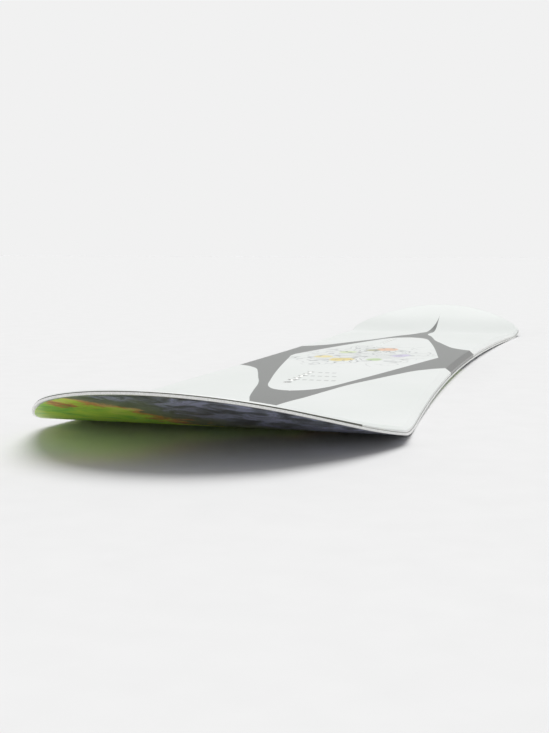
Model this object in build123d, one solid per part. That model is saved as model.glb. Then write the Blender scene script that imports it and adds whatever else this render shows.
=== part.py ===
from build123d import *

import math
import os

# A snowboard, millimetres. X runs across the board, with +X on the right of someone who looks from
# the nose to the tail, Y runs from the nose (-Y) to the tail (+Y), and +Z is up. The origin is on
# the ground plane at mid length. Heights are measured square to the base, upwards from its running
# face, and insets are measured inwards from the outline of the steel edges.

# Outline, seen from above: nose and tail are each three tangent arcs, joined by one sidecut arc.
BOARD_LENGTH = 1520.0
NOSE_WIDTH = 307.0
WAIST_WIDTH = 254.0
TAIL_WIDTH = 304.0
NOSE_CORNER_RADIUS = 68.0
NOSE_CORNER_TURN = 16.0
NOSE_SHOULDER_RADIUS = 316.0
NOSE_SHOULDER_TURN = 21.0
TAIL_CORNER_RADIUS = 85.0
TAIL_CORNER_TURN = 37.0
TAIL_SHOULDER_RADIUS = 172.0
TAIL_SHOULDER_TURN = 28.0

# Side profile of the running face: camber between the feet, and a kick of two arcs at each end.
CAMBER = 4.0
NOSE_KICK_LENGTH = 268.0
NOSE_KICK_RADIUS = 652.0
NOSE_KICK_TURN = 15.6
NOSE_TIP_RADIUS = 1456.0
TAIL_KICK_LENGTH = 182.0
TAIL_KICK_RADIUS = 354.0
TAIL_KICK_TURN = 22.9
TAIL_TIP_RADIUS = 907.0
OVERRUN = 12.0

# Thickness of each layer, from the base upwards.
BASE_THICKNESS = 1.3
FLANGE_THICKNESS = 0.4
FOIL_THICKNESS = 0.3
LOWER_LAMINATE = 0.4
CORE_MIDDLE = 7.3
CORE_TIP = 0.6
UPPER_LAMINATE = 0.5
TOP_SHEET = 0.4
NOSE_TAPER = 350.0
TAIL_TAPER = 270.0
TAPER_BLEND = 0.25

# Widths and insets.
EDGE_WIDTH = 2.0
FLANGE_REACH = 5.0
LEDGE = 1.0
SIDEWALL_WIDTH = 7.0
UPRIGHT_SHARE = 0.42
CAP_SLOPE = 50.0
NOSE_SPACER_LENGTH = 105.0
TAIL_SPACER_LENGTH = 80.0
STRINGER_WIDTH = 21.0
STRINGERS_PER_SIDE = 5

# Binding inserts: two columns of six M6 T-nuts under each foot, in a 40 by 20 mm grid.
STANCE_WIDTH = 540.0
SETBACK = 12.5
COLUMN_SPACING = 40.0
ROW_SPACING = 20.0
ROWS = 6
INSERT_FLANGE_RADIUS = 9.0
INSERT_FLANGE_THICKNESS = 1.0
INSERT_BARREL_RADIUS = 4.5
INSERT_BORE_RADIUS = 2.5
INSERT_FLOOR = 0.6
INSERT_RECESS = 0.2
MAT_THICKNESS = 0.5
MAT_WIDTH = 66.0
MAT_LENGTH = 136.0

FLANGE_BOTTOM = BASE_THICKNESS
FOIL_BOTTOM = FLANGE_BOTTOM + FLANGE_THICKNESS
LAMINATE_BOTTOM = FOIL_BOTTOM + FOIL_THICKNESS
CORE_BOTTOM = LAMINATE_BOTTOM + LOWER_LAMINATE
RING_INNER = EDGE_WIDTH + FLANGE_REACH
CAP_SKIN = UPPER_LAMINATE + TOP_SHEET
CORE_INSET = LEDGE + SIDEWALL_WIDTH
CORE_NOSE_END = -BOARD_LENGTH / 2 + NOSE_SPACER_LENGTH
CORE_TAIL_END = BOARD_LENGTH / 2 - TAIL_SPACER_LENGTH
FULL_CORE_NOSE = -BOARD_LENGTH / 2 + NOSE_TAPER * (1 + TAPER_BLEND)
FULL_CORE_TAIL = BOARD_LENGTH / 2 - TAIL_TAPER * (1 + TAPER_BLEND)
REACH_X = NOSE_WIDTH / 2 + 10
REACH_Z = 100.0
SPLINE_STEP = 22.0
RIM_TOLERANCE = 0.2
RIM_STEP = 40.0
RIM_OVERLAP = 2.0


def sin(degrees):
    return math.sin(math.radians(degrees))


def cos(degrees):
    return math.cos(math.radians(degrees))


def bridge_arc(radius_a, rise_a, radius_b, rise_b, span):
    """Arc that is tangent to two arcs curving the other way, whose peaks are span apart.

    Its own peak lies rise_a and rise_b from theirs. Returns its radius, the distance of its peak
    from the first one, and the angle it turns through on each side.
    """
    low, high = 1.0, 1e6
    for _ in range(80):
        radius = (low + high) / 2
        reach_a = math.sqrt(rise_a * (2 * (radius + radius_a) - rise_a))
        reach_b = math.sqrt(rise_b * (2 * (radius + radius_b) - rise_b))
        if reach_a + reach_b > span:
            high = radius
        else:
            low = radius
    turn_a = math.degrees(math.asin(reach_a / (radius + radius_a)))
    turn_b = math.degrees(math.asin(reach_b / (radius + radius_b)))
    return radius, reach_a, turn_a, turn_b


def end_arcs(half_width, corner_radius, corner_turn, shoulder_radius, shoulder_turn):
    """Arcs from the widest point to the tip as (radius, turn), and the length they cover."""
    turned = corner_turn + shoulder_turn
    sideways = corner_radius * (1 - cos(corner_turn))
    sideways += shoulder_radius * (cos(corner_turn) - cos(turned))
    tip_radius = (half_width - sideways) / cos(turned)
    length = corner_radius * sin(corner_turn)
    length += shoulder_radius * (sin(turned) - sin(corner_turn))
    length += tip_radius * (1 - sin(turned))
    arcs = [(corner_radius, corner_turn), (shoulder_radius, shoulder_turn)]
    return arcs + [(tip_radius, 90 - turned)], length


def outline_arcs():
    """Arcs of the right half of the outline, from the nose tip to the tail tip."""
    nose, nose_length = end_arcs(
        NOSE_WIDTH / 2, NOSE_CORNER_RADIUS, NOSE_CORNER_TURN, NOSE_SHOULDER_RADIUS, NOSE_SHOULDER_TURN
    )
    tail, tail_length = end_arcs(
        TAIL_WIDTH / 2, TAIL_CORNER_RADIUS, TAIL_CORNER_TURN, TAIL_SHOULDER_RADIUS, TAIL_SHOULDER_TURN
    )
    nose_depth = (NOSE_WIDTH - WAIST_WIDTH) / 2
    tail_depth = (TAIL_WIDTH - WAIST_WIDTH) / 2
    span = BOARD_LENGTH - nose_length - tail_length
    radius, _, nose_turn, tail_turn = bridge_arc(
        NOSE_CORNER_RADIUS, nose_depth, TAIL_CORNER_RADIUS, tail_depth, span
    )
    nose[0] = (NOSE_CORNER_RADIUS, NOSE_CORNER_TURN + nose_turn)
    tail[0] = (TAIL_CORNER_RADIUS, TAIL_CORNER_TURN + tail_turn)
    return nose[::-1] + [(radius, -(nose_turn + tail_turn))] + tail


def outline(inset):
    """Closed outline of the board, moved inwards, as a face on the ground plane."""
    start = Vector(0, -BOARD_LENGTH / 2 + inset)
    heading = Vector(1, 0)
    right = []
    for radius, turn in OUTLINE:
        bent = radius - inset if turn > 0 else radius + inset
        arc = JernArc(start=start, tangent=heading, radius=bent, arc_size=turn)
        right.append(arc)
        start = arc @ 1
        heading = arc % 1
    left = [mirror(arc, Plane.YZ) for arc in right]
    return make_face(Curve() + right + left)


def prism(inset):
    return extrude(Pos(0, 0, -REACH_Z) * outline(inset), amount=2 * REACH_Z)


def profile_arcs():
    """Arcs of the running face as (first y, last y, centre y, centre z, radius, side).

    side is 1 where the centre is above the face and -1 where it is below.
    """
    nose_low = -BOARD_LENGTH / 2 + NOSE_KICK_LENGTH
    tail_low = BOARD_LENGTH / 2 - TAIL_KICK_LENGTH
    radius, nose_reach, nose_turn, tail_turn = bridge_arc(
        NOSE_KICK_RADIUS, CAMBER, TAIL_KICK_RADIUS, CAMBER, tail_low - nose_low
    )
    camber_start = nose_low + NOSE_KICK_RADIUS * sin(nose_turn)
    camber_end = tail_low - TAIL_KICK_RADIUS * sin(tail_turn)
    nose_join = nose_low - NOSE_KICK_RADIUS * sin(NOSE_KICK_TURN)
    tail_join = tail_low + TAIL_KICK_RADIUS * sin(TAIL_KICK_TURN)
    nose_excess = NOSE_TIP_RADIUS - NOSE_KICK_RADIUS
    tail_excess = TAIL_TIP_RADIUS - TAIL_KICK_RADIUS
    nose_tip_y = nose_low + nose_excess * sin(NOSE_KICK_TURN)
    nose_tip_z = NOSE_KICK_RADIUS + nose_excess * cos(NOSE_KICK_TURN)
    tail_tip_y = tail_low - tail_excess * sin(TAIL_KICK_TURN)
    tail_tip_z = TAIL_KICK_RADIUS + tail_excess * cos(TAIL_KICK_TURN)
    first = -BOARD_LENGTH / 2 - OVERRUN
    last = BOARD_LENGTH / 2 + OVERRUN
    return [
        (first, nose_join, nose_tip_y, nose_tip_z, NOSE_TIP_RADIUS, 1),
        (nose_join, camber_start, nose_low, NOSE_KICK_RADIUS, NOSE_KICK_RADIUS, 1),
        (camber_start, camber_end, nose_low + nose_reach, CAMBER - radius, radius, -1),
        (camber_end, tail_join, tail_low, TAIL_KICK_RADIUS, TAIL_KICK_RADIUS, 1),
        (tail_join, last, tail_tip_y, tail_tip_z, TAIL_TIP_RADIUS, 1),
    ]


def profile_point(y, height):
    """Point of the side view at a height square to the running face above its point at y."""
    for _, last, centre_y, centre_z, radius, side in PROFILE:
        if y <= last:
            break
    drop = math.sqrt(radius**2 - (y - centre_y) ** 2)
    scale = 1 - side * height / radius
    return Vector(0, centre_y + (y - centre_y) * scale, centre_z - side * drop * scale)


def core_thickness(y):
    """Full between the feet, then a straight taper to each tip, with a short blend."""
    nose_part = (y + BOARD_LENGTH / 2) / NOSE_TAPER
    tail_part = (BOARD_LENGTH / 2 - y) / TAIL_TAPER
    part = min(nose_part, tail_part)
    if part > 1 + TAPER_BLEND:
        part = 1
    elif part > 1 - TAPER_BLEND:
        part = 1 - (1 + TAPER_BLEND - part) ** 2 / (4 * TAPER_BLEND)
    return CORE_TIP + (CORE_MIDDLE - CORE_TIP) * part


def level(height):
    """Side view of a surface at one height, nose to tail."""
    edges = []
    for first, last, *_ in PROFILE:
        ys = [first, (first + last) / 2, last]
        edges.append(ThreePointArc(*[profile_point(y, height) for y in ys]))
    return edges


def between_tapers(height):
    """Side view of a surface at one height, only where the core has its full thickness."""
    ys = [FULL_CORE_NOSE, 0, FULL_CORE_TAIL]
    return [ThreePointArc(*[profile_point(y, height) for y in ys])]


def above_core(extra):
    """Side view of the surface that lies extra above the core, nose to tail."""

    def point(y):
        return profile_point(y, CORE_BOTTOM + core_thickness(y) + extra)

    def curve(first, last):
        steps = round((last - first) / SPLINE_STEP)
        ys = [first + (last - first) * i / steps for i in range(steps + 1)]
        tangents = [point(y + 0.5) - point(y - 0.5) for y in (first, last)]
        return Spline(*[point(y) for y in ys], tangents=tangents)

    nose_part = curve(PROFILE[0][0], FULL_CORE_NOSE)
    tail_part = curve(FULL_CORE_TAIL, PROFILE[-1][1])
    return [nose_part] + between_tapers(CORE_BOTTOM + CORE_MIDDLE + extra) + [tail_part]


def layer(lower, upper, first_x, last_x):
    """Solid between two surfaces of the side view, from first_x to last_x."""
    ends = [Line(lower[0] @ 0, upper[0] @ 0), Line(lower[-1] @ 1, upper[-1] @ 1)]
    face = make_face(Curve() + lower + upper + ends)
    return extrude(Pos(first_x, 0, 0) * face, amount=last_x - first_x, dir=(1, 0, 0))


def whole_layer(lower, upper, inset):
    return layer(lower, upper, -REACH_X, REACH_X) & prism(inset)


def right_ring(lower, upper, outer, inner):
    """Right half of a band that follows the outline, between two insets."""
    return (layer(lower, upper, 0, REACH_X) & prism(outer)) - prism(inner)


def rim_stations():
    """Points along the right half of the ledge, each with its inward direction."""
    start = Vector(0, -BOARD_LENGTH / 2 + LEDGE)
    heading = Vector(1, 0)
    stations = []
    for radius, turn in OUTLINE:
        bent = radius - LEDGE if turn > 0 else radius + LEDGE
        arc = JernArc(start=start, tangent=heading, radius=bent, arc_size=turn)
        chord_turn = 2 * math.degrees(math.acos(1 - RIM_TOLERANCE / bent))
        steps = math.ceil(max(abs(turn) / chord_turn, arc.length / RIM_STEP))
        shares = [i / steps for i in range(steps)]
        stations += [(arc @ share, arc % share) for share in shares]
        start = arc @ 1
        heading = arc % 1
    stations.append((start, heading))
    return [(point, Vector(-along.Y, along.X)) for point, along in stations]


def cap_section(point, inwards, depth):
    """Section of the space outside the cap's slope, in the upright plane across the rim."""
    height = CORE_BOTTOM + UPRIGHT_SHARE * core_thickness(point.Y)
    foot = Vector(point.X, point.Y, profile_point(point.Y, height).Z)
    foot = foot + inwards * (depth / cos(CAP_SLOPE))
    high = foot + (Vector(0, 0, cos(CAP_SLOPE)) + inwards * sin(CAP_SLOPE)) * 20
    away = inwards * -30
    return Wire.make_polygon([foot, high, high + away, foot + away], close=True)


def cap_cutters(depth):
    """Right and left solids outside the cap's slope, which is moved inwards by depth."""
    stations = rim_stations()
    first, last = stations[0], stations[-1]
    across = Vector(-RIM_OVERLAP, 0)
    stations = [(first[0] + across, first[1])] + stations + [(last[0] + across, last[1])]
    sections = [cap_section(point, inwards, depth) for point, inwards in stations]
    right = Solid.make_loft(sections, True)
    return [right, mirror(right, Plane.YZ)]


def capped(upper, depth):
    """All that lies on the lower laminate, up to a surface and inside the cap's slope."""
    return whole_layer(level(CORE_BOTTOM), upper, LEDGE) - cap_cutters(depth)


def span_box(first_y, last_y, half_width=REACH_X):
    length = last_y - first_y
    return Pos(0, (first_y + last_y) / 2, 0) * Box(2 * half_width, length, 2 * REACH_Z)


def foot_centre(side):
    """Middle of the insert pattern: side is -1 for the front foot and 1 for the rear foot."""
    return side * STANCE_WIDTH / 2 + SETBACK


def insert_places(side):
    first = foot_centre(side) - (ROWS - 1) * ROW_SPACING / 2
    columns = (-COLUMN_SPACING / 2, COLUMN_SPACING / 2)
    return [(x, first + row * ROW_SPACING) for row in range(ROWS) for x in columns]


def post(x, y, radius, bottom=-REACH_Z):
    return Pos(x, y, bottom) * Cylinder(
        radius, REACH_Z - bottom, align=(Align.CENTER, Align.CENTER, Align.MIN)
    )


def make_insert(x, y, floor):
    """T-nut with a flange under the core and a barrel up to the top sheet, tapped from above."""
    flange_bottom = CORE_BOTTOM + MAT_THICKNESS
    flange_top = flange_bottom + INSERT_FLANGE_THICKNESS
    mouth = CORE_BOTTOM + CORE_MIDDLE + UPPER_LAMINATE + TOP_SHEET - INSERT_RECESS
    flange = layer(between_tapers(flange_bottom), between_tapers(flange_top), 0, 2 * x)
    barrel = layer(between_tapers(flange_top), between_tapers(mouth), 0, 2 * x)
    body = (flange & post(x, y, INSERT_FLANGE_RADIUS)) + (barrel & post(x, y, INSERT_BARREL_RADIUS))
    return body - post(x, y, INSERT_BORE_RADIUS, floor)


def make_inserts(side):
    """The inserts of one foot, whose blind threads all end at one level."""
    places = insert_places(side)
    floor = INSERT_FLOOR + max(profile_point(y, CORE_BOTTOM + MAT_THICKNESS).Z for _, y in places)
    return Compound(children=[make_insert(x, y, floor).solid() for x, y in places])


def make_mat(side):
    """Glass mat between the lower laminate and the insert flanges, which spreads their pull."""
    middle = foot_centre(side)
    box = span_box(middle - MAT_LENGTH / 2, middle + MAT_LENGTH / 2, MAT_WIDTH / 2)
    top = between_tapers(CORE_BOTTOM + MAT_THICKNESS)
    return layer(between_tapers(CORE_BOTTOM), top, -REACH_X, REACH_X) & box


def insert_pockets():
    """What the core is routed out by: the mats, the flanges and the barrels."""
    flange_top = CORE_BOTTOM + MAT_THICKNESS + INSERT_FLANGE_THICKNESS
    pockets = [make_mat(-1), make_mat(1)]
    for side in (-1, 1):
        for x, y in insert_places(side):
            flange = layer(between_tapers(CORE_BOTTOM), between_tapers(flange_top), 0, 2 * x)
            pockets.append(flange & post(x, y, INSERT_FLANGE_RADIUS))
            pockets.append(post(x, y, INSERT_BARREL_RADIUS))
    return pockets


def barrel_holes():
    places = insert_places(-1) + insert_places(1)
    return [post(x, y, INSERT_BARREL_RADIUS) for x, y in places]


def make_base_sheet():
    return whole_layer(level(0), level(BASE_THICKNESS), EDGE_WIDTH)


def make_right_edge():
    """Steel bead round the base with a flange that the laminate holds down."""
    bead = right_ring(level(0), level(LAMINATE_BOTTOM), 0, EDGE_WIDTH)
    flange = right_ring(level(FLANGE_BOTTOM), level(FOIL_BOTTOM), EDGE_WIDTH, RING_INNER)
    return bead + flange


def make_right_foil():
    return right_ring(level(FOIL_BOTTOM), level(LAMINATE_BOTTOM), EDGE_WIDTH, RING_INNER)


def make_lower_laminate():
    sheet = whole_layer(level(LAMINATE_BOTTOM), level(CORE_BOTTOM), LEDGE)
    filling = whole_layer(level(FLANGE_BOTTOM), level(LAMINATE_BOTTOM), RING_INNER)
    return sheet + filling


def make_stringers():
    """Wood strips side by side; the outermost pair is cut to the sidecut."""
    pockets = insert_pockets()
    core_span = span_box(CORE_NOSE_END, CORE_TAIL_END)
    strips = {}
    for number in range(2 * STRINGERS_PER_SIDE + 1):
        place = number - STRINGERS_PER_SIDE
        first_x = (place - 0.5) * STRINGER_WIDTH
        last_x = (place + 0.5) * STRINGER_WIDTH
        if abs(place) == STRINGERS_PER_SIDE:
            first_x = min(first_x, place / STRINGERS_PER_SIDE * REACH_X)
            last_x = max(last_x, place / STRINGERS_PER_SIDE * REACH_X)
        strip = layer(level(CORE_BOTTOM), above_core(0), first_x, last_x) & core_span
        if abs(place) == STRINGERS_PER_SIDE:
            strip = strip & prism(CORE_INSET)
        if first_x < MAT_WIDTH / 2 and last_x > -MAT_WIDTH / 2:
            strip = strip - pockets
        strips[f"wood_stringer_{number + 1}"] = strip
    return strips


def make_right_sidewall():
    wall = right_ring(level(CORE_BOTTOM), above_core(0), LEDGE, CORE_INSET)
    return (wall & span_box(CORE_NOSE_END, CORE_TAIL_END)) - cap_cutters(CAP_SKIN)[0]


def make_spacer(filling, first_y, last_y):
    """Plastic filler that takes the place of the core at a tip."""
    return filling & span_box(first_y, last_y)


def make_cap_sheet(low, high):
    """Sheet of the cap between two heights above the core, which wraps down the slope."""
    inner_cutters = cap_cutters(CAP_SKIN - low)
    flat = whole_layer(above_core(low), above_core(high), LEDGE) - inner_cutters
    whole = capped(above_core(high), CAP_SKIN - high)
    wraps = [whole & cutter for cutter in inner_cutters]
    return flat + wraps - barrel_holes()


def add_pair(parts, name, right):
    parts[f"{name}_right"] = right
    parts[f"{name}_left"] = mirror(right, Plane.YZ)


def build():
    far = BOARD_LENGTH
    filling = capped(above_core(0), CAP_SKIN)
    parts = {
        "base_sheet": make_base_sheet(),
        "lower_laminate": make_lower_laminate(),
        "nose_spacer": make_spacer(filling, -far, CORE_NOSE_END),
        "tail_spacer": make_spacer(filling, CORE_TAIL_END, far),
        "front_insert_mat": make_mat(-1),
        "rear_insert_mat": make_mat(1),
        "upper_laminate": make_cap_sheet(0, UPPER_LAMINATE),
        "top_sheet": make_cap_sheet(UPPER_LAMINATE, CAP_SKIN),
    }
    add_pair(parts, "steel_edge", make_right_edge())
    add_pair(parts, "edge_foil", make_right_foil())
    add_pair(parts, "sidewall", make_right_sidewall())
    parts.update(make_stringers())
    for side, foot in ((-1, "front"), (1, "rear")):
        parts[f"{foot}_inserts"] = make_inserts(side)
    return parts


OUTLINE = outline_arcs()
PROFILE = profile_arcs()

os.makedirs("parts", exist_ok=True)
for name, part in build().items():
    export_step(part, f"parts/{name}.step")
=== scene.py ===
import math

import bmesh
import bpy
from mathutils import Matrix, Vector


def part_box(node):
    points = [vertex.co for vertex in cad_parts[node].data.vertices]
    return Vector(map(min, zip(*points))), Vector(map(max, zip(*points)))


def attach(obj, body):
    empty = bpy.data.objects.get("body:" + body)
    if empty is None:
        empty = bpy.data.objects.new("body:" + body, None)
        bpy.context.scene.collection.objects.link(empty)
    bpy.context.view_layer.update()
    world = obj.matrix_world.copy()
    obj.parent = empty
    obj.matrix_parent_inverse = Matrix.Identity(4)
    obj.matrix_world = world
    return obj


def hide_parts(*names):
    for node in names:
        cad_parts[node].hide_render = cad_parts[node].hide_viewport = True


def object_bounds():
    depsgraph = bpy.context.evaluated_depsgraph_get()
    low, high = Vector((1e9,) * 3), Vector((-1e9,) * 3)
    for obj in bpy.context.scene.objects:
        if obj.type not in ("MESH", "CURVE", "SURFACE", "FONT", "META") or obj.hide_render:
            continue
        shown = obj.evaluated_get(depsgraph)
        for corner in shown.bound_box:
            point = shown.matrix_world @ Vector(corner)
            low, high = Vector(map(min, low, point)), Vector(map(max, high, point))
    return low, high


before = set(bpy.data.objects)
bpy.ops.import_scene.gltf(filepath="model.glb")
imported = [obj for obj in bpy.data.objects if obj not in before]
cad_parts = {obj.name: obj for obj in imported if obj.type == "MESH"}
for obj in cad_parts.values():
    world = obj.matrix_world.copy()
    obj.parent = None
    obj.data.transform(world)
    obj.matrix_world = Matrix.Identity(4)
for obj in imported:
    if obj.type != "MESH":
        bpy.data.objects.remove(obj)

cad_low, cad_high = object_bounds()
bpy.context.scene.view_settings.view_transform = "Standard"


# --- Base sheet -------------------------------------------------------------------------------
# Sintered polyethylene, 1.3 mm thick, die-cut to the inside of the steel edges. Its running face is
# stone ground and waxed, and the print on its back shows through the clear sheet.
# Everything else is pressed onto it, so the board's outline and side profile are worked out here.

MM = 0.001
LENGTH = cad_high.y - cad_low.y
NOSE_HALF_WIDTH = 153.5 * MM
WAIST_HALF_WIDTH = 127.0 * MM
TAIL_HALF_WIDTH = 152.0 * MM
# The arcs from each end's widest point towards its tip are given as (radius, turn).
NOSE_CORNER = (68.0 * MM, math.radians(16))
NOSE_SHOULDER = (316.0 * MM, math.radians(21))
TAIL_CORNER = (85.0 * MM, math.radians(37))
TAIL_SHOULDER = (172.0 * MM, math.radians(28))
CAMBER = 4.0 * MM
# Kicks: distance of the lowest line from the tip, radius there, its turn, and the radius beyond.
NOSE_KICK = (268.0 * MM, 652.0 * MM, math.radians(15.6), 1456.0 * MM)
TAIL_KICK = (182.0 * MM, 354.0 * MM, math.radians(22.9), 907.0 * MM)
BASE_THICKNESS = 1.3 * MM
EDGE_WIDTH = 2.0 * MM
RIM_STEP = 3.0 * MM
SIDECUT_STEP = 10.0 * MM
SMOOTH_ANGLE = math.radians(35)


def bridge(radius_a, rise_a, radius_b, rise_b, span):
    """Arc tangent to two arcs that curve the other way: radius, reach to the first, two turns."""
    low, high = 0.001, 1000.0
    for _ in range(80):
        radius = (low + high) / 2
        reach_a = math.sqrt(rise_a * (2 * (radius + radius_a) - rise_a))
        reach_b = math.sqrt(rise_b * (2 * (radius + radius_b) - rise_b))
        if reach_a + reach_b > span:
            high = radius
        else:
            low = radius
    turn_a = math.asin(reach_a / (radius + radius_a))
    turn_b = math.asin(reach_b / (radius + radius_b))
    return radius, reach_a, turn_a, turn_b


def end_arcs(half_width, corner, shoulder):
    """Three arcs from the widest point to the tip as (radius, turn), and their length along Y."""
    turned = corner[1] + shoulder[1]
    sideways = corner[0] * (1 - math.cos(corner[1]))
    sideways += shoulder[0] * (math.cos(corner[1]) - math.cos(turned))
    tip_radius = (half_width - sideways) / math.cos(turned)
    length = corner[0] * math.sin(corner[1])
    length += shoulder[0] * (math.sin(turned) - math.sin(corner[1]))
    length += tip_radius * (1 - math.sin(turned))
    return [corner, shoulder, (tip_radius, math.pi / 2 - turned)], length


def outline_arcs():
    """Arcs of the right half of the outline, from the nose tip to the tail tip."""
    nose, nose_length = end_arcs(NOSE_HALF_WIDTH, NOSE_CORNER, NOSE_SHOULDER)
    tail, tail_length = end_arcs(TAIL_HALF_WIDTH, TAIL_CORNER, TAIL_SHOULDER)
    nose_depth = NOSE_HALF_WIDTH - WAIST_HALF_WIDTH
    tail_depth = TAIL_HALF_WIDTH - WAIST_HALF_WIDTH
    span = LENGTH - nose_length - tail_length
    radius, _, nose_turn, tail_turn = bridge(
        NOSE_CORNER[0], nose_depth, TAIL_CORNER[0], tail_depth, span
    )
    nose[0] = (nose[0][0], nose[0][1] + nose_turn)
    tail[0] = (tail[0][0], tail[0][1] + tail_turn)
    return nose[::-1] + [(radius, -nose_turn - tail_turn)] + tail


def profile_arcs():
    """Arcs of the running face as (last y, centre y, centre z, radius, side)."""
    nose_low = -LENGTH / 2 + NOSE_KICK[0]
    tail_low = LENGTH / 2 - TAIL_KICK[0]
    span = tail_low - nose_low
    radius, reach, nose_turn, tail_turn = bridge(
        NOSE_KICK[1], CAMBER, TAIL_KICK[1], CAMBER, span
    )
    arcs = []
    for low, towards, kick in ((nose_low, 1, NOSE_KICK), (tail_low, -1, TAIL_KICK)):
        _, kick_radius, turn, tip_radius = kick
        excess = tip_radius - kick_radius
        centre = low + towards * excess * math.sin(turn)
        arcs.append((centre, kick_radius + excess * math.cos(turn), tip_radius, 1))
    return [
        (nose_low - NOSE_KICK[1] * math.sin(NOSE_KICK[2]), *arcs[0]),
        (nose_low + NOSE_KICK[1] * math.sin(nose_turn), nose_low, NOSE_KICK[1], NOSE_KICK[1], 1),
        (
            tail_low - TAIL_KICK[1] * math.sin(tail_turn),
            nose_low + reach,
            CAMBER - radius,
            radius,
            -1,
        ),
        (tail_low + TAIL_KICK[1] * math.sin(TAIL_KICK[2]), tail_low, TAIL_KICK[1], TAIL_KICK[1], 1),
        (LENGTH, *arcs[1]),
    ]


OUTLINE = outline_arcs()
PROFILE = profile_arcs()


def level(y, height):
    """World height of a surface a given height above the running face, measured square to it."""
    for last, centre_y, centre_z, radius, side in PROFILE:
        if y <= last:
            break
    return centre_z - side * math.sqrt((radius - side * height) ** 2 - (y - centre_y) ** 2)


def at(value, y):
    """A rim's inset or height at y, whether it is one number or follows y."""
    return value(y) if callable(value) else value


def rim_chain(bm, inset, height):
    """Spins the right half of the outline, nose tip to tail tip; inset and height may follow y."""
    first = bmesh.ops.create_vert(bm, co=(0, -LENGTH / 2, 0))["vert"][0]
    inwards = [(first, Vector((0, 1, 0)))]
    last = first
    heading = Vector((1, 0, 0))
    for radius, turn in OUTLINE:
        left = Vector((-heading.y, heading.x, 0))
        centre = last.co + left * math.copysign(radius, turn)
        before = len(bm.verts)
        steps = round(radius * abs(turn) / (RIM_STEP if turn > 0 else SIDECUT_STEP))
        made = bmesh.ops.spin(bm, geom=[last], cent=centre, axis=(0, 0, 1), angle=turn, steps=steps)
        last = [part for part in made["geom_last"] if isinstance(part, bmesh.types.BMVert)][0]
        bm.verts.ensure_lookup_table()
        for vert in bm.verts[before:]:
            towards = (centre - vert.co).normalized()
            inwards.append((vert, towards * math.copysign(1, turn)))
        heading = Matrix.Rotation(turn, 3, "Z") @ heading
    chain = {vert for vert, _ in inwards}
    edges = [edge for edge in bm.edges if edge.verts[0] in chain and edge.verts[1] in chain]
    for vert, towards in inwards:
        y = vert.co.y
        vert.co += towards * at(inset, y)
        vert.co.z = at(height, y)
    first.co.x = 0
    last.co.x = 0
    return edges


def add_plate(bm, *rims):
    """Plate through two or more rims, each (inset, height), from the lowest to the highest.

    The right half is bridged from rim to rim, both its flats are drawn in to the centre line, and
    the left half is its mirror image.
    """
    chains = [rim_chain(bm, inset, height) for inset, height in rims]
    for lower, upper in zip(chains, chains[1:]):
        bmesh.ops.bridge_loops(bm, edges=lower + upper)
    for chain in (chains[0], chains[-1]):
        drawn = bmesh.ops.extrude_edge_only(bm, edges=chain)["geom"]
        for part in drawn:
            if isinstance(part, bmesh.types.BMVert):
                part.co.x = 0
    bmesh.ops.remove_doubles(bm, verts=bm.verts, dist=1e-6)
    everything = bm.verts[:] + bm.edges[:] + bm.faces[:]
    bmesh.ops.mirror(bm, geom=everything, axis="X", merge_dist=1e-6)


def add_band(bm, *corners):
    """Closed band along the right half of the rim, through the corners of its section."""
    chains = [rim_chain(bm, inset, height) for inset, height in corners]
    for one, other in zip(chains, chains[1:] + chains[:1]):
        bmesh.ops.bridge_loops(bm, edges=one + other)
    open_edges = [edge for edge in bm.edges if edge.is_boundary]
    bmesh.ops.holes_fill(bm, edges=open_edges, sides=0)
    return chains


def trim(bm, y, keep):
    """Cuts the piece square at y, keeps the side that keep points to and closes the cut."""
    everything = bm.verts[:] + bm.edges[:] + bm.faces[:]
    cut = bmesh.ops.bisect_plane(
        bm, geom=everything, plane_co=(0, y, 0), plane_no=(0, keep, 0), clear_inner=True
    )
    edges = [part for part in cut["geom_cut"] if isinstance(part, bmesh.types.BMEdge)]
    bmesh.ops.holes_fill(bm, edges=edges, sides=0)


def bend(bm):
    """Sets the flat piece on the side profile."""
    for vert in bm.verts:
        vert.co.z = level(vert.co.y, vert.co.z)


def finish_piece(bm, name, node, material):
    """Makes the object: faces outwards, smooth but for its corners, riding on the board."""
    bmesh.ops.recalc_face_normals(bm, faces=bm.faces)
    for face in bm.faces:
        face.smooth = True
    for edge in bm.edges:
        edge.smooth = edge.calc_face_angle(0) < SMOOTH_ANGLE
    mesh = bpy.data.meshes.new(name)
    bm.to_mesh(mesh)
    bm.free()
    piece = bpy.data.objects.new(name, mesh)
    bpy.context.scene.collection.objects.link(piece)
    mesh.materials.append(material)
    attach(piece, "root")
    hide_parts(node)
    return piece


def mirrored(bm):
    """The left-hand copy of a right-hand piece."""
    copy = bm.copy()
    bmesh.ops.scale(copy, vec=(-1, 1, 1), verts=copy.verts)
    return copy


def linear(hex_colour):
    """Linear RGBA of an sRGB hex colour."""
    parts = [int(hex_colour[i : i + 2], 16) / 255 for i in (0, 2, 4)]
    return (*[c / 12.92 if c <= 0.04045 else ((c + 0.055) / 1.055) ** 2.4 for c in parts], 1.0)


def add(tree, kind, inputs=None, **settings):
    """Adds a node; an input is a value, or the socket that feeds it."""
    node = tree.nodes.new("ShaderNode" + kind)
    for key, value in settings.items():
        setattr(node, key, value)
    for key, value in (inputs or {}).items():
        if isinstance(value, bpy.types.NodeSocket):
            tree.links.new(value, node.inputs[key])
        else:
            node.inputs[key].default_value = value
    return node


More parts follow.
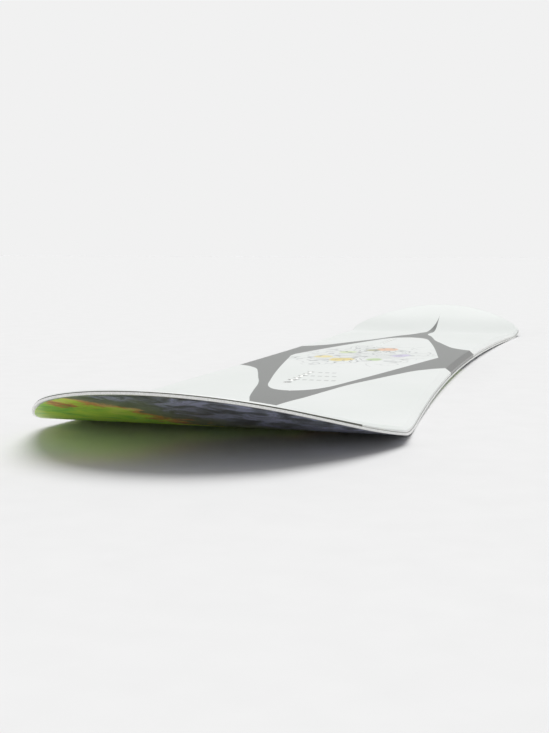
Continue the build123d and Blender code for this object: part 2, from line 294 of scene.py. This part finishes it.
def new_material(name, **shader):
    """A material with one Principled shader, and its Object coordinates."""
    material = bpy.data.materials.new(name)
    material.use_nodes = True
    tree = material.node_tree
    principled = tree.nodes["Principled BSDF"]
    for key, value in shader.items():
        principled.inputs[key.replace("_", " ")].default_value = value
    place = add(tree, "TexCoord").outputs["Object"]
    return material, tree, principled, place


def ramp(tree, factor, *stops):
    """Colour ramp with stops given as (position, hex colour)."""
    node = add(tree, "ValToRGB", {"Fac": factor})
    elements = node.color_ramp.elements
    while len(elements) < len(stops):
        elements.new(0.5)
    for element, (position, colour) in zip(elements, stops):
        element.position = position
        element.color = linear(colour)
    return node.outputs["Color"]


def maths(tree, operation, *values, clamp=False):
    """One Math node, fed with values or sockets."""
    inputs = dict(enumerate(values))
    return add(tree, "Math", inputs, operation=operation, use_clamp=clamp).outputs[0]


def mix(tree, factor, one, other, **settings):
    """Mixes two colours: one where the factor is 0, the other where it is 1."""
    inputs = {0: factor, "A": one, "B": other}
    return add(tree, "Mix", inputs, data_type="RGBA", **settings).outputs["Result"]


def bump(tree, principled, height, distance, strength=1.0):
    """Raises the surface by a height texture, so many metres deep."""
    inputs = {"Height": height, "Distance": distance, "Strength": strength}
    tree.links.new(add(tree, "Bump", inputs).outputs[0], principled.inputs["Normal"])


# The print: torn diagonal fields of lime green and slate, with a rust seam between them.
PRINT_SLANT = -1.19
PRINT_START = 0.645
TEAR_DEPTH = 0.2
FIELD_LENGTH = 0.5
FIELD_EDGE = 0.001
base_print, tree, shader, place = new_material("printed_polyethylene", Roughness=0.32, IOR=1.5)
axes = add(tree, "SeparateXYZ", {0: place}).outputs
tear = add(
    tree, "TexNoise", {"Vector": place, "Scale": 20.0, "Detail": 8.0, "Roughness": 0.62}
).outputs[0]
slant = maths(tree, "MULTIPLY_ADD", axes["X"], PRINT_SLANT, axes["Y"])
slant = maths(tree, "ADD", slant, PRINT_START)
torn = maths(tree, "MULTIPLY_ADD", maths(tree, "SUBTRACT", tear, 0.5), TEAR_DEPTH, slant)
field = maths(tree, "PINGPONG", torn, FIELD_LENGTH)
streak = add(
    tree, "TexNoise", {"Vector": place, "Scale": 40.0, "Detail": 6.0, "Distortion": 0.8}
).outputs[0]
green = ramp(tree, streak, (0.32, "6CC23A"), (0.45, "AEDD38"), (0.58, "CDEA46"), (0.7, "E2F07A"))
swirl = add(
    tree,
    "TexNoise",
    {"Vector": place, "Scale": 44.0, "Detail": 8.0, "Roughness": 0.66, "Distortion": 1.0},
).outputs[0]
slate = ramp(
    tree,
    swirl,
    (0.36, "1E1C1B"),
    (0.45, "4E5259"),
    (0.52, "787C8A"),
    (0.58, "9EA1BC"),
    (0.68, "6C6F7C"),
)
seam_colour = ramp(tree, streak, (0.38, "B85A2E"), (0.5, "DB8F48"), (0.6, "E8B878"))
moss = ramp(tree, streak, (0.35, "4A5140"), (0.6, "767C68"))
inside = add(
    tree, "MapRange", {"Value": torn, "From Min": -FIELD_EDGE, "From Max": FIELD_EDGE}
).outputs[0]
far_side = add(
    tree,
    "MapRange",
    {"Value": torn, "From Min": FIELD_LENGTH - FIELD_EDGE, "From Max": FIELD_LENGTH + FIELD_EDGE},
).outputs[0]
green_field = maths(tree, "SUBTRACT", inside, far_side)
seam = add(tree, "MapRange", {"Value": field, "From Min": 0.012, "From Max": 0.002}).outputs[0]
shade = add(tree, "MapRange", {"Value": field, "From Min": 0.08, "From Max": 0.03}).outputs[0]
dark = mix(tree, shade, slate, moss)
plain = mix(tree, green_field, dark, green)
printed = mix(tree, seam, plain, seam_colour)
tree.links.new(printed, shader.inputs["Base Color"])
# The stone leaves fine grooves along the board, drawn 0.8 mm apart so that they show.
grooves = add(tree, "TexWave", {"Vector": place, "Scale": 200.0, "Distortion": 0.6}).outputs["Fac"]
bump(tree, shader, grooves, 0.02 * MM, 0.5)

bm = bmesh.new()
add_plate(bm, (EDGE_WIDTH, 0.0), (EDGE_WIDTH, BASE_THICKNESS))
bend(bm)
finish_piece(bm, "running_base", "base_sheet", base_print)


# --- Steel edges ------------------------------------------------------------------------------
# Hardened steel bar, 2 mm square, rolled round the base in two halves that meet at both tips. A
# thin flange along its inner side is held under the laminate. The faces are ground and polished.

LAMINATE_BOTTOM = 2.0 * MM
FLANGE_INSET = 7.0 * MM
FLANGE_TOP = 1.7 * MM
EDGE_ROUNDING = 0.18 * MM

edge_steel, tree, shader, place = new_material("polished_edge_steel", Metallic=1.0, Roughness=0.22)
along = add(tree, "Mapping", {"Vector": place, "Scale": (900.0, 40.0, 900.0)}).outputs[0]
brush = add(tree, "TexNoise", {"Vector": along, "Scale": 1.0, "Detail": 3.0}).outputs[0]
tree.links.new(ramp(tree, brush, (0.3, "D2D3D1"), (0.7, "E6E7E5")), shader.inputs["Base Color"])
rough = add(tree, "MapRange", {"Value": brush, "To Min": 0.16, "To Max": 0.32}).outputs[0]
tree.links.new(rough, shader.inputs["Roughness"])
bump(tree, shader, brush, 0.01 * MM, 0.4)

bm = bmesh.new()
chains = add_band(
    bm,
    (0.0, 0.0),
    (0.0, LAMINATE_BOTTOM),
    (EDGE_WIDTH, LAMINATE_BOTTOM),
    (EDGE_WIDTH, FLANGE_TOP),
    (FLANGE_INSET, FLANGE_TOP),
    (FLANGE_INSET, BASE_THICKNESS),
    (EDGE_WIDTH, BASE_THICKNESS),
    (EDGE_WIDTH, 0.0),
)
corners = [edge for edge in chains[0] + chains[1] if edge.is_valid]
bmesh.ops.bevel(
    bm, geom=corners, offset=EDGE_ROUNDING, segments=2, profile=0.5, affect="EDGES", material=-1
)
bend(bm)
left = mirrored(bm)
finish_piece(bm, "edge_right", "steel_edge_right", edge_steel)
finish_piece(left, "edge_left", "steel_edge_left", edge_steel)


# --- Edge foils -------------------------------------------------------------------------------
# Thin rubber strips on the flanges of the steel edges. They let the brittle laminate and the steel
# move against each other, and damp the chatter of the edge. They are sealed in, in matt black.

foil_rubber, tree, shader, place = new_material("damping_rubber", Roughness=0.85)
grain = add(tree, "TexNoise", {"Vector": place, "Scale": 900.0, "Detail": 2.0}).outputs[0]
tree.links.new(ramp(tree, grain, (0.3, "141415"), (0.7, "262627")), shader.inputs["Base Color"])
bump(tree, shader, grain, 0.05 * MM)


def keep_node(name, material):
    """A CAD node that stays, with its own finish."""
    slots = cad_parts[name].data.materials
    slots.clear()
    slots.append(material)


for side_name in ("left", "right"):
    keep_node(f"edge_foil_{side_name}", foil_rubber)


# --- Lower laminate ---------------------------------------------------------------------------
# Stitched glass fibre wet out with epoxy, pressed down over the base and the edges' flanges. Only
# its planed rim shows, as a thin olive line above the steel.

LEDGE = 1.0 * MM
CORE_BOTTOM = 2.4 * MM

laminate, tree, shader, place = new_material("glass_epoxy_laminate", Roughness=0.38, IOR=1.54)
fibres = add(tree, "Mapping", {"Vector": place, "Scale": (260.0, 60.0, 1500.0)}).outputs[0]
strands = add(tree, "TexNoise", {"Vector": fibres, "Scale": 1.0, "Detail": 4.0}).outputs[0]
olive = ramp(tree, strands, (0.3, "46473A"), (0.55, "626250"), (0.75, "7C7A64"))
tree.links.new(olive, shader.inputs["Base Color"])
bump(tree, shader, strands, 0.05 * MM)

bm = bmesh.new()
add_plate(
    bm,
    (FLANGE_INSET, BASE_THICKNESS),
    (FLANGE_INSET, LAMINATE_BOTTOM),
    (LEDGE, LAMINATE_BOTTOM),
    (LEDGE, CORE_BOTTOM),
)
bend(bm)
finish_piece(bm, "glass_below_core", "lower_laminate", laminate)


# --- Insert mats ------------------------------------------------------------------------------
# Woven glass squares in resin under each foot, which spread the pull of the binding screws over the
# core. The weave is a plain one of 2 mm yarns.

mat_weave, tree, shader, place = new_material("woven_glass_mat", Roughness=0.5)
YARN = 2.0 * MM
axes = add(tree, "SeparateXYZ", {0: place}).outputs
warp = maths(tree, "SINE", maths(tree, "MULTIPLY", axes["X"], math.pi / YARN))
weft = maths(tree, "SINE", maths(tree, "MULTIPLY", axes["Y"], math.pi / YARN))
crossing = maths(tree, "MULTIPLY_ADD", maths(tree, "MULTIPLY", warp, weft), 0.5, 0.5)
tree.links.new(ramp(tree, crossing, (0.1, "B9B7A0"), (0.9, "E6E4D4")), shader.inputs["Base Color"])
bump(tree, shader, crossing, 0.15 * MM)
for foot in ("front", "rear"):
    keep_node(f"{foot}_insert_mat", mat_weave)


# --- Wood core --------------------------------------------------------------------------------
# Eleven strips glued edge to edge, light poplar by turns with denser beech, planed to the board's
# thickness and routed out for the inserts. The grain runs along the board.


def wood(name, early, late, ring_gap):
    """A planed wood with growth rings in two tones and dark pores along the grain."""
    material, tree, shader, place = new_material(name, Roughness=0.62)
    stretched = add(tree, "Mapping", {"Vector": place, "Scale": (1.0, 0.04, 1.0)}).outputs[0]
    rings = add(
        tree,
        "TexWave",
        {
            "Vector": stretched,
            "Scale": 0.32 / ring_gap,
            "Distortion": 5.0,
            "Detail": 3.0,
            "Detail Scale": 40.0,
        },
        bands_direction="DIAGONAL",
    ).outputs["Fac"]
    pores = add(tree, "Mapping", {"Vector": place, "Scale": (1500.0, 70.0, 1500.0)}).outputs[0]
    pore = add(tree, "TexNoise", {"Vector": pores, "Scale": 1.0, "Detail": 2.0}).outputs[0]
    figure = ramp(tree, rings, (0.2, early), (0.85, late))
    speck = ramp(tree, pore, (0.35, "9A7B52"), (0.5, "FFFFFF"))
    colour = mix(tree, 0.6, figure, speck, blend_type="MULTIPLY")
    tree.links.new(colour, shader.inputs["Base Color"])
    bump(tree, shader, pore, 0.08 * MM)
    return material


poplar = wood("planed_poplar", "E7D6B2", "CDB485", 4 * MM)
beech = wood("planed_beech", "C99C6C", "A87746", 2 * MM)
for number in range(1, 12):
    keep_node(f"wood_stringer_{number}", poplar if number % 2 else beech)


# --- Tip spacers ------------------------------------------------------------------------------
# ABS fillers in the nose and the tail, where the wood core ends. Only their rims show, in the same
# dark olive as the laminates above and below them. The board's thickness is worked out here.

NOSE_TAPER = 350.0 * MM
TAIL_TAPER = 270.0 * MM
CORE_MIDDLE = 7.3 * MM
CORE_TIP = 0.6 * MM
TAPER_BLEND = 0.25
UPRIGHT_SHARE = 0.42
CAP_SLOPE = math.radians(50)
UPPER_LAMINATE = 0.5 * MM
TOP_SHEET = 0.4 * MM
CAP_SKIN = UPPER_LAMINATE + TOP_SHEET


def core_thickness(y):
    """Thickness of the core, which tapers towards both tips with an eased start."""
    part = min((y + LENGTH / 2) / NOSE_TAPER, (LENGTH / 2 - y) / TAIL_TAPER)
    if part > 1 + TAPER_BLEND:
        part = 1
    elif part > 1 - TAPER_BLEND:
        part = 1 - (1 + TAPER_BLEND - part) ** 2 / (4 * TAPER_BLEND)
    return CORE_TIP + (CORE_MIDDLE - CORE_TIP) * part


def above_core(extra):
    """Height of a surface above the core, as a function of y."""
    return lambda y: CORE_BOTTOM + core_thickness(y) + extra


def shoulder(y):
    """Height at which the upright side ends and the cap's slope begins."""
    return CORE_BOTTOM + UPRIGHT_SHARE * core_thickness(y)


def cap_foot(depth):
    """Lower rim of a cap sheet whose face lies at a depth under the top sheet's: inset, height."""
    return (LEDGE + depth / math.cos(CAP_SLOPE), shoulder)


def cap_crease(depth):
    """Rim between the slope of a cap sheet and its flat: inset, height."""

    def inset(y):
        rise = (1 - UPRIGHT_SHARE) * core_thickness(y) + CAP_SKIN - depth
        return cap_foot(depth)[0] + rise * math.tan(CAP_SLOPE)

    return (inset, above_core(CAP_SKIN - depth))


nose_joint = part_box("sidewall_right")[0].y
tail_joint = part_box("sidewall_right")[1].y

spacer_abs, tree, shader, place = new_material("olive_abs", Roughness=0.45)
planing = add(tree, "Mapping", {"Vector": place, "Scale": (70.0, 70.0, 2500.0)}).outputs[0]
marks = add(tree, "TexNoise", {"Vector": planing, "Scale": 1.0, "Detail": 2.0}).outputs[0]
tree.links.new(ramp(tree, marks, (0.3, "3F4036"), (0.7, "55564A")), shader.inputs["Base Color"])
bump(tree, shader, marks, 0.05 * MM)

for name, y, keep in (("nose", nose_joint, -1), ("tail", tail_joint, 1)):
    bm = bmesh.new()
    add_plate(bm, (LEDGE, CORE_BOTTOM), (LEDGE, shoulder), cap_foot(CAP_SKIN), cap_crease(CAP_SKIN))
    trim(bm, y, keep)
    bend(bm)
    finish_piece(bm, f"{name}_filler", f"{name}_spacer", spacer_abs)


# --- Sidewalls --------------------------------------------------------------------------------
# White ABS strips that seal the long sides of the core: a low upright face above the edge, and a
# sloping shoulder under the cap. The printed web figure is worked out here, as it runs on down
# from the top sheet over the walls.

SIDEWALL_INSET = 8.0 * MM
WEB_MIDDLE = 8.0 * MM
CURVE_REACH = 720.0 * MM
CURVE_WIDTH = 160.0 * MM
# Half-widths of the web's outer rim and of the window in it, in mm: (distance along, half-width).
OUTER_FIGURE = (
    (118, 160), (124, 127), (132, 115), (148, 102), (170, 90), (200, 80), (250, 65), (310, 47.5),
    (370, 35), (410, 26.5), (440, 18), (470, 12.5), (540, 8.5), (620, 4.5), (690, 0.6), (720, 0),
)
INNER_FIGURE = (
    (0, 96), (180, 64), (285, 43), (325, 34), (350, 24), (362, 14), (368, 4), (370, 0), (400, 0),
    (720, 0),
)
WEB_LEAN = 0.25
NOSE_STRETCH = 0.97
PRINT_EDGE = 0.4 * MM
WINDOW_TRIM = 1.0 * MM


def figure_curve(tree, distance, points):
    """Half-width of a printed curve, in metres, at a distance along the board from its middle."""
    share = maths(tree, "DIVIDE", distance, CURVE_REACH)
    node = add(tree, "FloatCurve", {"Value": share})
    curve = node.mapping.curves[0]
    while len(curve.points) < len(points):
        curve.points.new(0.5, 0.5)
    for point, (far, wide) in zip(curve.points, points):
        point.location = (far * MM / CURVE_REACH, wide * MM / CURVE_WIDTH)
        point.handle_type = "AUTO_CLAMPED"
    node.mapping.update()
    return maths(tree, "MULTIPLY", node.outputs[0], CURVE_WIDTH)


def web_figure(tree, place):
    """1 inside the grey web and 0 outside it, soft at its edge; the left leans nosewards."""
    axes = add(tree, "SeparateXYZ", {0: place}).outputs
    across = maths(tree, "ABSOLUTE", axes["X"])
    leftwards = maths(tree, "MAXIMUM", maths(tree, "MULTIPLY", axes["X"], -WEB_LEAN), 0.0)
    tailwards = maths(tree, "SUBTRACT", axes["Y"], WEB_MIDDLE)
    leaning = maths(tree, "MULTIPLY", leftwards, -1.0)
    nosewards = maths(tree, "MULTIPLY_ADD", tailwards, -NOSE_STRETCH, leaning)
    distance = maths(tree, "MAXIMUM", maths(tree, "MAXIMUM", tailwards, nosewards), 0.0)
    outer = figure_curve(tree, distance, OUTER_FIGURE)
    inner = figure_curve(tree, distance, INNER_FIGURE)
    past_rim = maths(tree, "SUBTRACT", outer, across)
    within = maths(tree, "MULTIPLY", past_rim, 1 / PRINT_EDGE, clamp=True)
    inner = maths(tree, "SUBTRACT", inner, WINDOW_TRIM)
    past_window = maths(tree, "SUBTRACT", across, inner)
    without = maths(tree, "MULTIPLY", past_window, 1 / PRINT_EDGE, clamp=True)
    return maths(tree, "MULTIPLY", within, without)


white_abs, tree, shader, place = new_material("white_abs_sidewall", Roughness=0.3, IOR=1.53)
planing = add(tree, "Mapping", {"Vector": place, "Scale": (60.0, 60.0, 2500.0)}).outputs[0]
marks = add(tree, "TexNoise", {"Vector": planing, "Scale": 1.0, "Detail": 2.0}).outputs[0]
white = ramp(tree, marks, (0.3, "DFE2DF"), (0.7, "EBEDEA"))
grey = ramp(tree, marks, (0.3, "6F706D"), (0.7, "7C7D7A"))
tree.links.new(mix(tree, web_figure(tree, place), white, grey), shader.inputs["Base Color"])
bump(tree, shader, marks, 0.03 * MM)

bm = bmesh.new()
add_band(
    bm,
    (LEDGE, CORE_BOTTOM),
    (LEDGE, shoulder),
    cap_foot(CAP_SKIN),
    cap_crease(CAP_SKIN),
    (SIDEWALL_INSET, above_core(0.0)),
    (SIDEWALL_INSET, CORE_BOTTOM),
)
trim(bm, nose_joint, 1)
trim(bm, tail_joint, -1)
bend(bm)
left = mirrored(bm)
finish_piece(bm, "side_right", "sidewall_right", white_abs)
finish_piece(left, "side_left", "sidewall_left", white_abs)


# --- Binding inserts --------------------------------------------------------------------------
# Stainless T-nuts, turned and tapped M6: a flange under the core and a barrel up to the top sheet,
# with a countersunk mouth. Twelve under each foot take the binding's screws.

ROW_SPACING = 20.0 * MM
COLUMN_HALF = 20.0 * MM
ROWS = 6
BARREL_RADIUS = 4.5 * MM
INSERT_FLANGE_RADIUS = 9.0 * MM
INSERT_FLANGE = 1.0 * MM
INSERT_FLOOR = 0.6 * MM
MOUTH_CHAMFER = 0.15 * MM
THREAD_START = 0.7 * MM
THREAD_RUNOUT = 0.2 * MM
MOUTH_RADIUS = 3.3 * MM
THREAD_MINOR = 2.5 * MM
THREAD_MAJOR = 3.0 * MM
THREAD_PITCH = 1.0 * MM
MAT_THICKNESS = 0.5 * MM
INSERT_RECESS = 0.2 * MM
TURNED_STEPS = 28

insert_steel, tree, shader, place = new_material("turned_stainless", Metallic=1.0, Roughness=0.42)
turning = add(tree, "TexNoise", {"Vector": place, "Scale": 1400.0, "Detail": 2.0}).outputs[0]
tree.links.new(ramp(tree, turning, (0.3, "C2C1BE"), (0.7, "D6D5D2")), shader.inputs["Base Color"])
bump(tree, shader, turning, 0.01 * MM)


def insert_places(foot):
    """Centres of the twelve inserts under a foot, as (x, y)."""
    low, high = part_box(f"{foot}_inserts")
    first = (low.y + high.y) / 2 - (ROWS - 1) * ROW_SPACING / 2
    columns = (-COLUMN_HALF, COLUMN_HALF)
    return [(x, first + row * ROW_SPACING) for row in range(ROWS) for x in columns]


def add_insert(bm, x, y, floor):
    """Turns one insert: its half section is a chain that is spun round the upright axis."""
    bottom = level(y, CORE_BOTTOM + MAT_THICKNESS)
    flange_top = bottom + INSERT_FLANGE
    mouth = level(y, CORE_BOTTOM + CORE_MIDDLE + CAP_SKIN) - INSERT_RECESS
    section = [
        (0.0, bottom),
        (INSERT_FLANGE_RADIUS, bottom),
        (INSERT_FLANGE_RADIUS, flange_top),
        (BARREL_RADIUS, flange_top),
        (BARREL_RADIUS, mouth - MOUTH_CHAMFER),
        (BARREL_RADIUS - MOUTH_CHAMFER, mouth),
        (MOUTH_RADIUS, mouth),
    ]
    turns = int((mouth - THREAD_START - floor) / THREAD_PITCH)
    for turn in range(turns):
        z = mouth - THREAD_START - turn * THREAD_PITCH
        section += [(THREAD_MINOR, z), (THREAD_MAJOR, z - THREAD_PITCH / 2)]
    section += [(THREAD_MINOR, floor + THREAD_RUNOUT), (THREAD_MINOR, floor), (0.0, floor)]
    verts = [bmesh.ops.create_vert(bm, co=(x + r, y, z))["vert"][0] for r, z in section]
    edges = [bm.edges.new(pair) for pair in zip(verts, verts[1:])]
    bmesh.ops.spin(
        bm,
        geom=verts + edges,
        cent=(x, y, 0),
        axis=(0, 0, 1),
        angle=2 * math.pi,
        steps=TURNED_STEPS,
        use_merge=True,
    )


for foot in ("front", "rear"):
    places = insert_places(foot)
    floor = INSERT_FLOOR + max(level(y, CORE_BOTTOM + MAT_THICKNESS) for _, y in places)
    bm = bmesh.new()
    for x, y in places:
        add_insert(bm, x, y, floor)
    bmesh.ops.remove_doubles(bm, verts=bm.verts, dist=1e-6)
    finish_piece(bm, f"{foot}_tee_nuts", f"{foot}_inserts", insert_steel)


# --- Upper laminate ---------------------------------------------------------------------------
# The second skin of glass and epoxy, which wraps over the shoulder with the top sheet. Its rim is
# the thin dark line that runs right round the board. It is drilled for the inserts' barrels.

HOLE_MARGIN = 8.0 * MM


def near_inserts(point, places):
    """Whether a point lies in the part of the sheet that the inserts take up."""
    reach = 3 * HOLE_MARGIN
    beside = abs(point.x) < WAIST_HALF_WIDTH / 2
    return beside and any(abs(point.y - y) < reach for _, y in places)


def drill(bm, radius):
    """Opens the flat plate for the inserts' barrels, one hole in each square of cut faces."""
    places = insert_places("front") + insert_places("rear")
    for index, normal in enumerate((Vector((1, 0, 0)), Vector((0, 1, 0)))):
        lines = {spot[index] + side * HOLE_MARGIN for spot in places for side in (-1, 1)}
        for line in sorted(lines):
            flats = [face for face in bm.faces if near_inserts(face.calc_center_median(), places)]
            geom = {part for face in flats for part in [face, *face.edges, *face.verts]}
            bmesh.ops.bisect_plane(
                bm, geom=list(geom), dist=1e-6, plane_co=normal * line, plane_no=normal
            )
    for x, y in places:
        squares = {}
        for face in bm.faces:
            centre = face.calc_center_median()
            if abs(centre.x - x) < HOLE_MARGIN and abs(centre.y - y) < HOLE_MARGIN:
                squares.setdefault(round(centre.z, 4), []).append(face)
        rings = []
        for faces in squares.values():
            z = faces[0].verts[0].co.z
            sides = [edge for face in faces for edge in face.edges]
            rim = [edge for edge in sides if sides.count(edge) == 1]
            bmesh.ops.delete(bm, geom=faces, context="FACES_KEEP_BOUNDARY")
            made = bmesh.ops.create_circle(
                bm, segments=2 * TURNED_STEPS, radius=radius, matrix=Matrix.Translation((x, y, z))
            )
            ring = list({edge for vert in made["verts"] for edge in vert.link_edges})
            bmesh.ops.triangle_fill(bm, use_beauty=True, edges=rim + ring)
            rings += ring
        bmesh.ops.bridge_loops(bm, edges=rings)


bm = bmesh.new()
add_plate(bm, cap_crease(CAP_SKIN), cap_foot(CAP_SKIN), cap_foot(TOP_SHEET), cap_crease(TOP_SHEET))
drill(bm, BARREL_RADIUS)
bend(bm)
finish_piece(bm, "glass_above_core", "upper_laminate", laminate)


# --- Top sheet --------------------------------------------------------------------------------
# Clear polyamide film printed from behind: glossy off-white, a grey web figure that is much the
# same towards nose and tail, rows of small dashes and an abstract drawing of contour lines.

CREASE_ROUNDING = 0.8 * MM
STEEP = 0.88  # upright part of the normal below which the sheet counts as its slope

top_film, tree, shader, place = new_material("printed_polyamide_film", Roughness=0.36, IOR=1.42)
axes = add(tree, "SeparateXYZ", {0: place}).outputs
mottle = add(tree, "TexNoise", {"Vector": place, "Scale": 5.0, "Detail": 3.0}).outputs[0]
white = ramp(tree, mottle, (0.35, "E2E6E3"), (0.65, "E7EAE8"))
speckle = add(tree, "TexNoise", {"Vector": place, "Scale": 700.0, "Detail": 2.0}).outputs[0]
grey = ramp(tree, speckle, (0.3, "727472"), (0.7, "7B7D7B"))
# Painted shade: a darker copy of the web's grey is used wherever the sheet's normal tilts below
# STEEP, standing in for the shade on the sideways-facing slope of the shoulder.
slope_shade_grey = ramp(tree, speckle, (0.3, "60615F"), (0.7, "696A68"))
tilt = add(tree, "SeparateXYZ", {0: add(tree, "NewGeometry").outputs["Normal"]}).outputs["Z"]
sloping = maths(tree, "LESS_THAN", tilt, STEEP)
grey = mix(tree, sloping, grey, slope_shade_grey)
colour = mix(tree, web_figure(tree, place), white, grey)


def blot(tree, place, x, y, rx, ry, wobble):
    """Soft-edged patch with a ragged outline, as a wash of colour makes."""
    moved = add(
        tree,
        "Mapping",
        {"Vector": place, "Location": (-x / rx, -y / ry, 0.0), "Scale": (1 / rx, 1 / ry, 0.0)},
    ).outputs[0]
    reach = add(tree, "VectorMath", {0: moved}, operation="LENGTH").outputs["Value"]
    ragged = maths(tree, "MULTIPLY_ADD", wobble, 1.4, maths(tree, "SUBTRACT", reach, 0.7))
    return add(tree, "MapRange", {"Value": ragged, "From Min": 1.0, "From Max": 0.75}).outputs[0]


# The drawing: nested wandering lines in an oval, with washes of colour here and there.
DRAWING_MIDDLE = (0.0, 22 * MM)
DRAWING_HALF = (92 * MM, 165 * MM)
CONTOURS = 13.0
LINE_WIDTH = 0.16
LINE_CORE = 0.03
LINE_STRENGTH = 0.75
wander = add(tree, "TexNoise", {"Vector": place, "Scale": 16.0, "Detail": 2.0}).outputs[0]
ragged_edge = add(tree, "TexNoise", {"Vector": place, "Scale": 30.0, "Detail": 3.0}).outputs[0]
drawing = blot(tree, place, *DRAWING_MIDDLE, *DRAWING_HALF, ragged_edge)
contour = maths(tree, "FRACT", maths(tree, "MULTIPLY", wander, CONTOURS))
off_line = maths(tree, "PINGPONG", contour, 0.5)
line = add(
    tree, "MapRange", {"Value": off_line, "From Min": LINE_WIDTH, "From Max": LINE_CORE}
).outputs[0]
# Washes: colour, then centre and half-size across and along, in mm.
washes = (
    ("EBDD9A", -52, -20, 13, 17),
    ("E6D27E", -20, -50, 17, 22),
    ("B9D19A", 20, -40, 14, 19),
    ("EDBE9B", 10, 112, 17, 24),
    ("A9A883", -8, 96, 11, 15),
    ("CFC9E2", 44, 20, 14, 24),
    ("D3E0B4", -34, 56, 13, 22),
)
for tint, x, y, half_x, half_y in washes:
    patch = blot(tree, place, x * MM, y * MM, half_x * MM, half_y * MM, ragged_edge)
    colour = mix(tree, patch, colour, linear(tint))
lines_shown = maths(tree, "MULTIPLY", maths(tree, "MULTIPLY", line, drawing), LINE_STRENGTH)
colour = mix(tree, lines_shown, colour, linear("77797C"))

# Three rows of small dashes across the centre line, nosewards of the drawing.
MARK_ROWS = (-283.0 * MM, -246.0 * MM, -211.0 * MM)
MARK_REACHES = (28.0 * MM, 20.0 * MM, 12.0 * MM)
MARK_HALF_LENGTH = 3.5 * MM
MARK_PITCH = 8.0 * MM
MARK_SHARE = 0.3
MARK_STRENGTH = 0.5
marks = 0.0
for row, reach in zip(MARK_ROWS, MARK_REACHES):
    from_row = maths(tree, "ABSOLUTE", maths(tree, "SUBTRACT", axes["Y"], row))
    beside = maths(tree, "ABSOLUTE", axes["X"])
    near_row = maths(tree, "LESS_THAN", from_row, MARK_HALF_LENGTH)
    on_row = maths(tree, "MULTIPLY", near_row, maths(tree, "LESS_THAN", beside, reach))
    marks = maths(tree, "ADD", marks, on_row)
step = maths(tree, "PINGPONG", axes["X"], MARK_PITCH / 2)
marks = maths(tree, "MULTIPLY", marks, maths(tree, "LESS_THAN", step, MARK_SHARE * MARK_PITCH))
marks = maths(tree, "MULTIPLY", marks, MARK_STRENGTH)
colour = mix(tree, marks, colour, linear("8A8C8A"))
tree.links.new(colour, shader.inputs["Base Color"])
ripple = add(tree, "TexNoise", {"Vector": place, "Scale": 60.0, "Detail": 2.0}).outputs[0]
bump(tree, shader, ripple, 0.02 * MM, 0.6)


def eased_crease(inwards, down):
    """Rim near the crease of the top sheet, moved inwards and down by parts of its rounding."""
    inset, height = cap_crease(0.0)
    return (
        lambda y: inset(y) + inwards * CREASE_ROUNDING,
        lambda y: height(y) - down * CREASE_ROUNDING,
    )


bm = bmesh.new()
add_plate(
    bm,
    cap_crease(TOP_SHEET),
    cap_foot(TOP_SHEET),
    cap_foot(0.0),
    eased_crease(-math.sin(CAP_SLOPE), math.cos(CAP_SLOPE)),
    eased_crease(0.0, math.cos(CAP_SLOPE) / 4),
    eased_crease(1.0, 0.0),
    eased_crease(4.0, 0.0),
)
drill(bm, BARREL_RADIUS)
bend(bm)
finish_piece(bm, "printed_top", "top_sheet", top_film)


# --- Floor, light and camera ------------------------------------------------------------------
# A white floor that runs out of sight into a white surround, and one very broad soft light from
# above, which leaves the floor dark under the raised nose.

FLOOR_HALF = 60.0
floor_paper, tree, shader, place = new_material("pale_floor", Roughness=0.9)
fibre = add(tree, "TexNoise", {"Vector": place, "Scale": 30.0, "Detail": 2.0}).outputs[0]
tree.links.new(ramp(tree, fibre, (0.3, "E4E4E4"), (0.7, "E6E6E6")), shader.inputs["Base Color"])
shader.inputs["Specular IOR Level"].default_value = 0.0
bm = bmesh.new()
bmesh.ops.create_grid(bm, x_segments=1, y_segments=1, size=FLOOR_HALF)
mesh = bpy.data.meshes.new("floor")
bm.to_mesh(mesh)
bm.free()
floor = bpy.data.objects.new("floor", mesh)
bpy.context.scene.collection.objects.link(floor)
mesh.materials.append(floor_paper)

world = bpy.data.worlds.new("studio")
world.use_nodes = True
tree = world.node_tree
direction = add(tree, "TexCoord").outputs["Generated"]
height = add(tree, "SeparateXYZ", {0: direction}).outputs["Z"]
sky = ramp(tree, height, (0.26, "F1F1F1"), (0.42, "8C8C8C"), (0.9, "B4B4B4"))
tree.links.new(sky, tree.nodes["Background"].inputs["Color"])
bpy.context.scene.world = world

softbox = bpy.data.lights.new("softbox", "SUN")
softbox.energy = 2.25
softbox.angle = math.radians(55)
lamp = bpy.data.objects.new("softbox", softbox)
lamp.rotation_euler = (math.radians(-16), math.radians(4), 0.0)
bpy.context.scene.collection.objects.link(lamp)

EYE = Vector((0.2960, -1.4573, 0.1470))
YAW, PITCH, ROLL = math.radians(16.03), math.radians(-5.64), math.radians(0.19)
camera = bpy.data.objects.new("camera", bpy.data.cameras.new("camera"))
camera.data.lens = 55.9
camera.data.clip_start = 0.01
turned = Matrix.Rotation(YAW, 4, "Z") @ Matrix.Rotation(math.pi / 2 + PITCH, 4, "X")
camera.matrix_world = Matrix.Translation(EYE) @ turned @ Matrix.Rotation(ROLL, 4, "Z")
bpy.context.scene.collection.objects.link(camera)
bpy.context.scene.camera = camera
